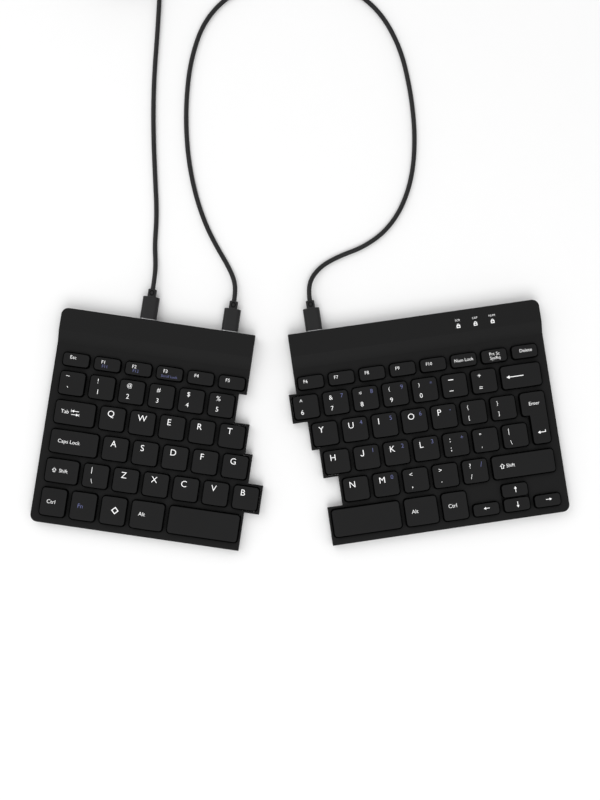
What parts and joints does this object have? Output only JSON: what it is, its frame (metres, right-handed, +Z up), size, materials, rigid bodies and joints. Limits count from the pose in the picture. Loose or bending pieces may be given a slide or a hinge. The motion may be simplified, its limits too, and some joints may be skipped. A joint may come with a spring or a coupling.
{
  "type": "split keyboard",
  "caption": "Low split computer keyboard: splayed halves joined by a link cable, scissor keys under hollow caps, and a USB cable wound in a coil.",
  "frame": {"origin": "On the desk, under the middle of the box round the two halves, cables left out.", "axes": "+X to the user's right along the pair, +Y to the rear where the cables leave, +Z up."},
  "size_m": [0.3398, 0.4317, 0.0158],
  "materials": {
    "case_plastic": "fine matte texture",
    "cap_plastic": "fine matte texture",
    "foot_rubber": "matte",
    "screw_steel": "zinc plated",
    "plate_steel": "rolled",
    "membrane_film": "clear film with printed traces",
    "dome_rubber": "satin silicone",
    "link_plastic": "satin",
    "wire_steel": "bright drawn wire",
    "board_laminate": "solder mask",
    "socket_steel": "plated",
    "light_lens": "smoked clear",
    "cable_sheath": "satin sheath",
    "plug_plastic": "moulded satin",
    "tie_plastic": "matte"
  },
  "bodies": {
    "left_half": {"left_top_case": "case_plastic", "left_bottom_case": "case_plastic", "left_feet": "foot_rubber", "left_screws": "screw_steel", "left_back_plate": "plate_steel", "left_membrane": "membrane_film", "left_dome_sheet": "dome_rubber", "left_scissor_links": "link_plastic", "left_stabilizer_wires": "wire_steel", "left_circuit_board": "board_laminate", "left_usb_sockets": "socket_steel", "computer_plug": "plug_plastic", "computer_cable": "cable_sheath", "computer_cable_coil": "cable_sheath", "cable_tie": "tie_plastic", "computer_usb_a_plug": "plug_plastic", "link_cable": "cable_sheath", "left_link_plug": "plug_plastic"},
    "right_half": {"right_top_case": "case_plastic", "right_bottom_case": "case_plastic", "right_feet": "foot_rubber", "right_screws": "screw_steel", "right_back_plate": "plate_steel", "right_membrane": "membrane_film", "right_dome_sheet": "dome_rubber", "right_scissor_links": "link_plastic", "right_stabilizer_wires": "wire_steel", "right_circuit_board": "board_laminate", "right_usb_sockets": "socket_steel", "indicator_lights": "light_lens", "right_link_plug": "plug_plastic"},
    "escape_key": {"escape_key": "cap_plastic"},
    "left_function_keys": {"left_function_keys": "cap_plastic"},
    "left_number_keys": {"left_number_keys": "cap_plastic"},
    "tab_key": {"tab_key": "cap_plastic"},
    "left_upper_keys": {"left_upper_keys": "cap_plastic"},
    "caps_lock_key": {"caps_lock_key": "cap_plastic"},
    "left_home_keys": {"left_home_keys": "cap_plastic"},
    "left_shift_key": {"left_shift_key": "cap_plastic"},
    "left_lower_keys": {"left_lower_keys": "cap_plastic"},
    "left_control_key": {"left_control_key": "cap_plastic"},
    "function_shift_key": {"function_shift_key": "cap_plastic"},
    "system_key": {"system_key": "cap_plastic"},
    "left_alt_key": {"left_alt_key": "cap_plastic"},
    "left_space_key": {"left_space_key": "cap_plastic"},
    "right_function_keys": {"right_function_keys": "cap_plastic"},
    "backspace_key": {"backspace_key": "cap_plastic"},
    "right_number_keys": {"right_number_keys": "cap_plastic"},
    "enter_key": {"enter_key": "cap_plastic"},
    "right_upper_keys": {"right_upper_keys": "cap_plastic"},
    "right_home_keys": {"right_home_keys": "cap_plastic"},
    "right_shift_key": {"right_shift_key": "cap_plastic"},
    "right_lower_keys": {"right_lower_keys": "cap_plastic"},
    "arrow_right_key": {"arrow_right_key": "cap_plastic"},
    "arrow_up_key": {"arrow_up_key": "cap_plastic"},
    "arrow_down_key": {"arrow_down_key": "cap_plastic"},
    "arrow_left_key": {"arrow_left_key": "cap_plastic"},
    "right_control_key": {"right_control_key": "cap_plastic"},
    "right_alt_key": {"right_alt_key": "cap_plastic"},
    "right_space_key": {"right_space_key": "cap_plastic"}
  },
  "joints": [
    {"name": "half_spread", "type": "slide", "parent": "left_half", "child": "right_half", "axis": [1, 0, 0], "range_m": [-0.012, 0.1], "deforming": ["link_cable"]},
    {"name": "escape_key_press", "type": "slide", "parent": "left_half", "child": "escape_key", "axis": [0, 0, 1], "range_m": [-0.002, 0], "stiffness_N_per_m": 300, "springref_m": 0.0015, "deforming": ["left_dome_sheet", "left_scissor_links", "left_stabilizer_wires"]},
    {"name": "left_function_keys_press", "type": "slide", "parent": "left_half", "child": "left_function_keys", "axis": [0, 0, 1], "range_m": [-0.002, 0], "stiffness_N_per_m": 300, "springref_m": 0.0015, "deforming": ["left_dome_sheet", "left_scissor_links", "left_stabilizer_wires"]},
    {"name": "left_number_keys_press", "type": "slide", "parent": "left_half", "child": "left_number_keys", "axis": [0, 0, 1], "range_m": [-0.002, 0], "stiffness_N_per_m": 300, "springref_m": 0.0015, "deforming": ["left_dome_sheet", "left_scissor_links", "left_stabilizer_wires"]},
    {"name": "tab_key_press", "type": "slide", "parent": "left_half", "child": "tab_key", "axis": [0, 0, 1], "range_m": [-0.002, 0], "stiffness_N_per_m": 300, "springref_m": 0.0015, "deforming": ["left_dome_sheet", "left_scissor_links", "left_stabilizer_wires"]},
    {"name": "left_upper_keys_press", "type": "slide", "parent": "left_half", "child": "left_upper_keys", "axis": [0, 0, 1], "range_m": [-0.002, 0], "stiffness_N_per_m": 300, "springref_m": 0.0015, "deforming": ["left_dome_sheet", "left_scissor_links", "left_stabilizer_wires"]},
    {"name": "caps_lock_key_press", "type": "slide", "parent": "left_half", "child": "caps_lock_key", "axis": [0, 0, 1], "range_m": [-0.002, 0], "stiffness_N_per_m": 300, "springref_m": 0.0015, "deforming": ["left_dome_sheet", "left_scissor_links", "left_stabilizer_wires"]},
    {"name": "left_home_keys_press", "type": "slide", "parent": "left_half", "child": "left_home_keys", "axis": [0, 0, 1], "range_m": [-0.002, 0], "stiffness_N_per_m": 300, "springref_m": 0.0015, "deforming": ["left_dome_sheet", "left_scissor_links", "left_stabilizer_wires"]},
    {"name": "left_shift_key_press", "type": "slide", "parent": "left_half", "child": "left_shift_key", "axis": [0, 0, 1], "range_m": [-0.002, 0], "stiffness_N_per_m": 300, "springref_m": 0.0015, "deforming": ["left_dome_sheet", "left_scissor_links", "left_stabilizer_wires"]},
    {"name": "left_lower_keys_press", "type": "slide", "parent": "left_half", "child": "left_lower_keys", "axis": [0, 0, 1], "range_m": [-0.002, 0], "stiffness_N_per_m": 300, "springref_m": 0.0015, "deforming": ["left_dome_sheet", "left_scissor_links", "left_stabilizer_wires"]},
    {"name": "left_control_key_press", "type": "slide", "parent": "left_half", "child": "left_control_key", "axis": [0, 0, 1], "range_m": [-0.002, 0], "stiffness_N_per_m": 300, "springref_m": 0.0015, "deforming": ["left_dome_sheet", "left_scissor_links", "left_stabilizer_wires"]},
    {"name": "function_shift_key_press", "type": "slide", "parent": "left_half", "child": "function_shift_key", "axis": [0, 0, 1], "range_m": [-0.002, 0], "stiffness_N_per_m": 300, "springref_m": 0.0015, "deforming": ["left_dome_sheet", "left_scissor_links", "left_stabilizer_wires"]},
    {"name": "system_key_press", "type": "slide", "parent": "left_half", "child": "system_key", "axis": [0, 0, 1], "range_m": [-0.002, 0], "stiffness_N_per_m": 300, "springref_m": 0.0015, "deforming": ["left_dome_sheet", "left_scissor_links", "left_stabilizer_wires"]},
    {"name": "left_alt_key_press", "type": "slide", "parent": "left_half", "child": "left_alt_key", "axis": [0, 0, 1], "range_m": [-0.002, 0], "stiffness_N_per_m": 300, "springref_m": 0.0015, "deforming": ["left_dome_sheet", "left_scissor_links", "left_stabilizer_wires"]},
    {"name": "left_space_key_press", "type": "slide", "parent": "left_half", "child": "left_space_key", "axis": [0, 0, 1], "range_m": [-0.002, 0], "stiffness_N_per_m": 300, "springref_m": 0.0015, "deforming": ["left_dome_sheet", "left_scissor_links", "left_stabilizer_wires"]},
    {"name": "right_function_keys_press", "type": "slide", "parent": "right_half", "child": "right_function_keys", "axis": [0, 0, 1], "range_m": [-0.002, 0], "stiffness_N_per_m": 300, "springref_m": 0.0015, "deforming": ["right_dome_sheet", "right_scissor_links", "right_stabilizer_wires"]},
    {"name": "backspace_key_press", "type": "slide", "parent": "right_half", "child": "backspace_key", "axis": [0, 0, 1], "range_m": [-0.002, 0], "stiffness_N_per_m": 300, "springref_m": 0.0015, "deforming": ["right_dome_sheet", "right_scissor_links", "right_stabilizer_wires"]},
    {"name": "right_number_keys_press", "type": "slide", "parent": "right_half", "child": "right_number_keys", "axis": [0, 0, 1], "range_m": [-0.002, 0], "stiffness_N_per_m": 300, "springref_m": 0.0015, "deforming": ["right_dome_sheet", "right_scissor_links", "right_stabilizer_wires"]},
    {"name": "enter_key_press", "type": "slide", "parent": "right_half", "child": "enter_key", "axis": [0, 0, 1], "range_m": [-0.002, 0], "stiffness_N_per_m": 300, "springref_m": 0.0015, "deforming": ["right_dome_sheet", "right_scissor_links", "right_stabilizer_wires"]},
    {"name": "right_upper_keys_press", "type": "slide", "parent": "right_half", "child": "right_upper_keys", "axis": [0, 0, 1], "range_m": [-0.002, 0], "stiffness_N_per_m": 300, "springref_m": 0.0015, "deforming": ["right_dome_sheet", "right_scissor_links", "right_stabilizer_wires"]},
    {"name": "right_home_keys_press", "type": "slide", "parent": "right_half", "child": "right_home_keys", "axis": [0, 0, 1], "range_m": [-0.002, 0], "stiffness_N_per_m": 300, "springref_m": 0.0015, "deforming": ["right_dome_sheet", "right_scissor_links", "right_stabilizer_wires"]},
    {"name": "right_shift_key_press", "type": "slide", "parent": "right_half", "child": "right_shift_key", "axis": [0, 0, 1], "range_m": [-0.002, 0], "stiffness_N_per_m": 300, "springref_m": 0.0015, "deforming": ["right_dome_sheet", "right_scissor_links", "right_stabilizer_wires"]},
    {"name": "right_lower_keys_press", "type": "slide", "parent": "right_half", "child": "right_lower_keys", "axis": [0, 0, 1], "range_m": [-0.002, 0], "stiffness_N_per_m": 300, "springref_m": 0.0015, "deforming": ["right_dome_sheet", "right_scissor_links", "right_stabilizer_wires"]},
    {"name": "arrow_right_key_press", "type": "slide", "parent": "right_half", "child": "arrow_right_key", "axis": [0, 0, 1], "range_m": [-0.002, 0], "stiffness_N_per_m": 300, "springref_m": 0.0015, "deforming": ["right_dome_sheet", "right_scissor_links", "right_stabilizer_wires"]},
    {"name": "arrow_up_key_press", "type": "slide", "parent": "right_half", "child": "arrow_up_key", "axis": [0, 0, 1], "range_m": [-0.002, 0], "stiffness_N_per_m": 300, "springref_m": 0.0015, "deforming": ["right_dome_sheet", "right_scissor_links", "right_stabilizer_wires"]},
    {"name": "arrow_down_key_press", "type": "slide", "parent": "right_half", "child": "arrow_down_key", "axis": [0, 0, 1], "range_m": [-0.002, 0], "stiffness_N_per_m": 300, "springref_m": 0.0015, "deforming": ["right_dome_sheet", "right_scissor_links", "right_stabilizer_wires"]},
    {"name": "arrow_left_key_press", "type": "slide", "parent": "right_half", "child": "arrow_left_key", "axis": [0, 0, 1], "range_m": [-0.002, 0], "stiffness_N_per_m": 300, "springref_m": 0.0015, "deforming": ["right_dome_sheet", "right_scissor_links", "right_stabilizer_wires"]},
    {"name": "right_control_key_press", "type": "slide", "parent": "right_half", "child": "right_control_key", "axis": [0, 0, 1], "range_m": [-0.002, 0], "stiffness_N_per_m": 300, "springref_m": 0.0015, "deforming": ["right_dome_sheet", "right_scissor_links", "right_stabilizer_wires"]},
    {"name": "right_alt_key_press", "type": "slide", "parent": "right_half", "child": "right_alt_key", "axis": [0, 0, 1], "range_m": [-0.002, 0], "stiffness_N_per_m": 300, "springref_m": 0.0015, "deforming": ["right_dome_sheet", "right_scissor_links", "right_stabilizer_wires"]},
    {"name": "right_space_key_press", "type": "slide", "parent": "right_half", "child": "right_space_key", "axis": [0, 0, 1], "range_m": [-0.002, 0], "stiffness_N_per_m": 300, "springref_m": 0.0015, "deforming": ["right_dome_sheet", "right_scissor_links", "right_stabilizer_wires"]}
  ]
}
